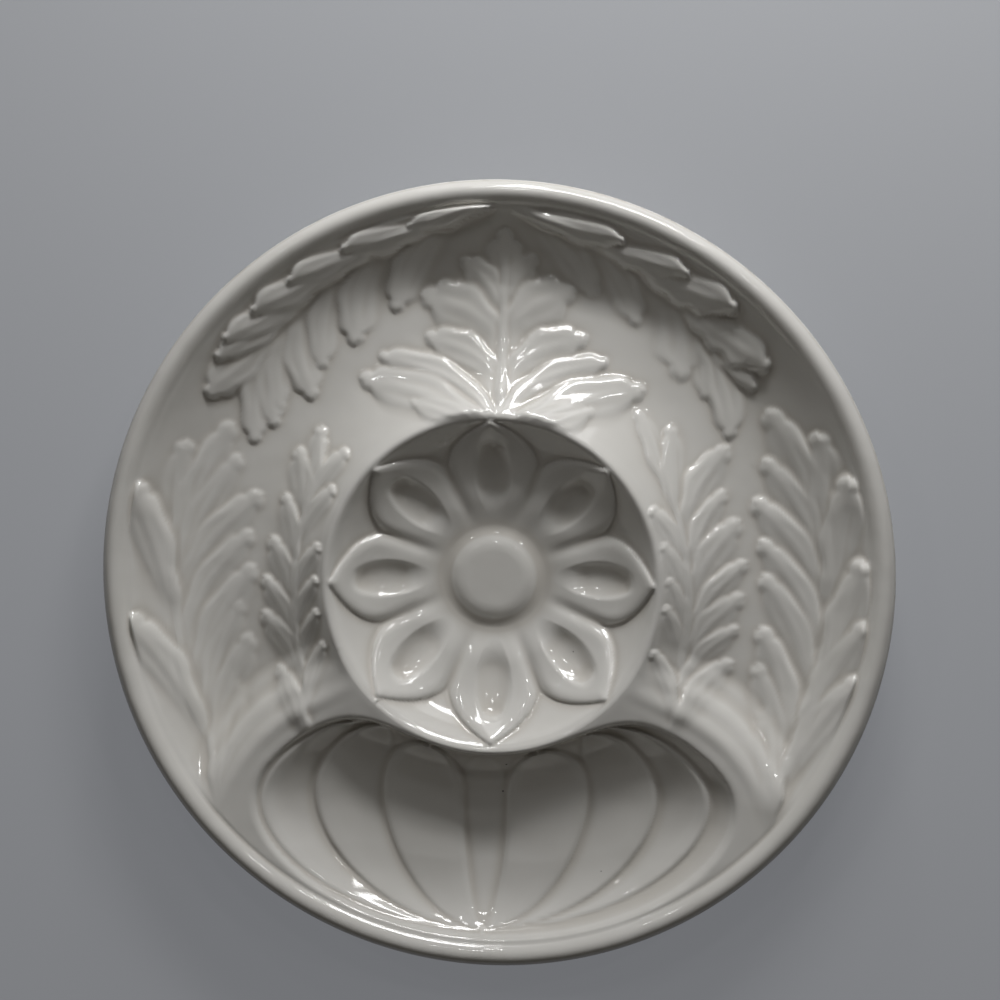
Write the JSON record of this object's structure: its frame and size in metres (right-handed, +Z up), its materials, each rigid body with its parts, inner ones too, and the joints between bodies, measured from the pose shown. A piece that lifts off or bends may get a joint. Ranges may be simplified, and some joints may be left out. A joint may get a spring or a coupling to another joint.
{
  "type": "oyster plate",
  "caption": "Round glazed oyster plate with a leaf-moulded trough bent round a dip well with a lotus rosette, and a fluted shell well below, on a bare foot ring.",
  "frame": {"origin": "centre of the foot ring's underside", "axes": "+Z up out of the front face, +Y towards the crown leaf, the shell well towards -Y"},
  "size_m": [0.26, 0.26, 0.028],
  "materials": {
    "glaze": "glossy off-white glaze, warmer and greyer where it pools",
    "bare_clay": "bare fired clay, matt"
  },
  "bodies": {
    "root": {"plate_body": "glaze", "foot_ring": "bare_clay"}
  },
  "joints": []
}
